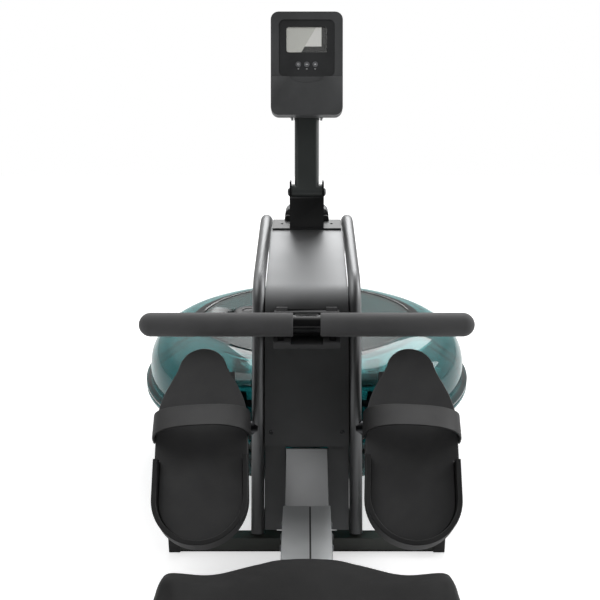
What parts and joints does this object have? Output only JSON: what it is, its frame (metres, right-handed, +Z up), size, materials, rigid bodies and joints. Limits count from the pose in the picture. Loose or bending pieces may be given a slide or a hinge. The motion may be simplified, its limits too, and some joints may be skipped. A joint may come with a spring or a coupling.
{
  "type": "water rowing machine",
  "caption": "Rowing trainer with a round see-through water tank under a tubular arch, a sliding seat on a low rail, tilting foot plates, a pull handle and a folding console",
  "frame": {"origin": "on the floor, at the middle of the machine's length and width", "axes": "+X to the right of a person who sits on the seat, +Y from the seat towards the water tank, +Z up"},
  "size_m": [0.576, 1.9012, 0.7555],
  "materials": {
    "tube_paint": "satin dark grey powder coat",
    "black_paint": "gloss black powder coat",
    "rail_metal": "brushed, anodised grey",
    "casing": "smooth dark grey",
    "black_plastic": "moulded black",
    "pedal_plastic": "fine grained black",
    "strap_rubber": "smooth black",
    "grip_foam": "closed cell foam, matt",
    "console_plastic": "fine grained dark grey",
    "key_rubber": "soft dark grey",
    "screen_glass": "clear gloss",
    "display": "grey liquid crystal panel on a green board",
    "tank_clear": "clear, teal tinted",
    "lid_clear": "clear, teal tinted",
    "steel": "blackened",
    "webbing": "woven black",
    "rubber": "matt black",
    "wheel_rubber": "matt black",
    "seat_foam": "smooth black moulded foam skin"
  },
  "bodies": {
    "frame": {"base_frame": "black_paint", "heel_bar_shoe": "rubber", "front_bar_shoe": "rubber", "rear_foot_shoe": "rubber", "left_arch_tube": "tube_paint", "right_arch_tube": "tube_paint", "rail_neck": "rail_metal", "seat_rail": "rail_metal", "rail_bolt_front": "steel", "rail_bolt_middle": "steel", "rail_bolt_rear": "steel", "rail_end_cap": "rubber", "rear_foot": "black_paint", "casing_cover": "casing", "lower_cover": "casing", "left_cover_screw": "steel", "right_cover_screw": "steel", "tank_lower_shell": "tank_clear", "tank_upper_shell": "tank_clear", "tank_seal": "rubber", "tank_lid": "lid_clear", "shaft_bearing": "steel", "recoil_spring": "steel", "drive_bridge": "black_paint", "idler_bracket": "black_paint", "strap_run": "webbing", "handle_cradle": "black_plastic", "post_bracket": "black_paint", "pivot_bolt": "steel"},
    "seat": {"seat_pad": "seat_foam", "seat_carriage": "black_paint"},
    "front_seat_roller": {"front_roller": "wheel_rubber"},
    "rear_seat_roller": {"rear_roller": "wheel_rubber"},
    "handle": {"handle_bar": "black_paint", "left_grip": "grip_foam", "right_grip": "grip_foam", "strap_span": "webbing"},
    "drum": {"strap_drum": "black_plastic", "one_way_clutch": "steel"},
    "idler": {"idler_roller": "black_plastic"},
    "paddle": {"impeller": "black_plastic", "impeller_shaft": "steel"},
    "plug": {"fill_plug": "black_plastic"},
    "arm": {"console_post": "tube_paint", "console_bolt": "steel"},
    "console": {"console_front": "console_plastic", "console_back": "console_plastic", "screen_lens": "screen_glass", "display_board": "display"},
    "left_key": {"key_left": "key_rubber"},
    "middle_key": {"key_middle": "key_rubber"},
    "right_key": {"key_right": "key_rubber"},
    "left_pedal": {"left_foot_plate": "pedal_plastic", "left_foot_strap": "strap_rubber"},
    "right_pedal": {"right_foot_plate": "pedal_plastic", "right_foot_strap": "strap_rubber"},
    "left_heel": {"left_heel_cup": "strap_rubber"},
    "right_heel": {"right_heel_cup": "strap_rubber"},
    "left_wheel": {"left_transport_wheel": "wheel_rubber"},
    "right_wheel": {"right_transport_wheel": "wheel_rubber"}
  },
  "joints": [
    {"name": "seat_slide", "type": "slide", "parent": "frame", "child": "seat", "axis": [0, 1, 0], "range_m": [-0.63, 0.08]},
    {"name": "front_roller_turn", "type": "hinge", "parent": "seat", "child": "front_seat_roller", "pos_m": [0, -0.09435, 0.1103], "axis": [1, 0, 0], "continuous": true},
    {"name": "rear_roller_turn", "type": "hinge", "parent": "seat", "child": "rear_seat_roller", "pos_m": [0, -0.24435, 0.1103], "axis": [1, 0, 0], "continuous": true},
    {"name": "handle_pull", "type": "slide", "parent": "frame", "child": "handle", "axis": [0, -1, 0], "range_m": [0, 1.05], "deforming": ["strap_span"]},
    {"name": "drum_turn", "type": "hinge", "parent": "frame", "child": "drum", "pos_m": [0, 0.56765, 0.288], "axis": [0, 0, 1], "continuous": true},
    {"name": "idler_turn", "type": "hinge", "parent": "frame", "child": "idler", "pos_m": [0, 0.41065, 0.2976], "axis": [1, 0, 0], "continuous": true},
    {"name": "paddle_spin", "type": "hinge", "parent": "frame", "child": "paddle", "pos_m": [0, 0.56765, 0.08], "axis": [0, 0, 1], "continuous": true},
    {"name": "plug_lift", "type": "slide", "parent": "frame", "child": "plug", "axis": [0, 0, 1], "range_m": [0, 0.03]},
    {"name": "arm_fold", "type": "hinge", "parent": "frame", "child": "arm", "pos_m": [0, 0.58065, 0.4615], "axis": [-1, 0, 0], "range_deg": [0, 70]},
    {"name": "console_tilt", "type": "hinge", "parent": "arm", "child": "console", "pos_m": [0, 0.61698, 0.58819], "axis": [1, 0, 0], "range_deg": [-15, 20]},
    {"name": "left_key_press", "type": "slide", "parent": "console", "child": "left_key", "axis": [0, 0.9613, -0.2756], "range_m": [0, 0.0008], "stiffness_N_per_m": 600, "springref_m": -0.0005},
    {"name": "middle_key_press", "type": "slide", "parent": "console", "child": "middle_key", "axis": [0, 0.9613, -0.2756], "range_m": [0, 0.0008], "stiffness_N_per_m": 600, "springref_m": -0.0005},
    {"name": "right_key_press", "type": "slide", "parent": "console", "child": "right_key", "axis": [0, 0.9613, -0.2756], "range_m": [0, 0.0008], "stiffness_N_per_m": 600, "springref_m": -0.0005},
    {"name": "left_pedal_tilt", "type": "hinge", "parent": "frame", "child": "left_pedal", "pos_m": [-0.1334, 0.28027, 0.165], "axis": [1, 0, 0], "range_deg": [-12, 10]},
    {"name": "right_pedal_tilt", "type": "hinge", "parent": "frame", "child": "right_pedal", "pos_m": [0.1334, 0.28027, 0.165], "axis": [1, 0, 0], "range_deg": [-12, 10]},
    {"name": "left_heel_slide", "type": "slide", "parent": "left_pedal", "child": "left_heel", "axis": [0.0549, -0.742, -0.6681], "range_m": [0, 0.03]},
    {"name": "right_heel_slide", "type": "slide", "parent": "right_pedal", "child": "right_heel", "axis": [-0.0549, -0.742, -0.6681], "range_m": [0, 0.03]},
    {"name": "left_wheel_turn", "type": "hinge", "parent": "frame", "child": "left_wheel", "pos_m": [-0.15, 0.92565, 0.028], "axis": [1, 0, 0], "continuous": true},
    {"name": "right_wheel_turn", "type": "hinge", "parent": "frame", "child": "right_wheel", "pos_m": [0.15, 0.92565, 0.028], "axis": [1, 0, 0], "continuous": true}
  ],
  "couplings": [
    {"joint": "front_roller_turn", "follows": "seat_slide", "rad_per_m": -50},
    {"joint": "rear_roller_turn", "follows": "seat_slide", "rad_per_m": -50},
    {"joint": "drum_turn", "follows": "handle_pull", "rad_per_m": 25},
    {"joint": "idler_turn", "follows": "handle_pull", "rad_per_m": 52.36}
  ]
}
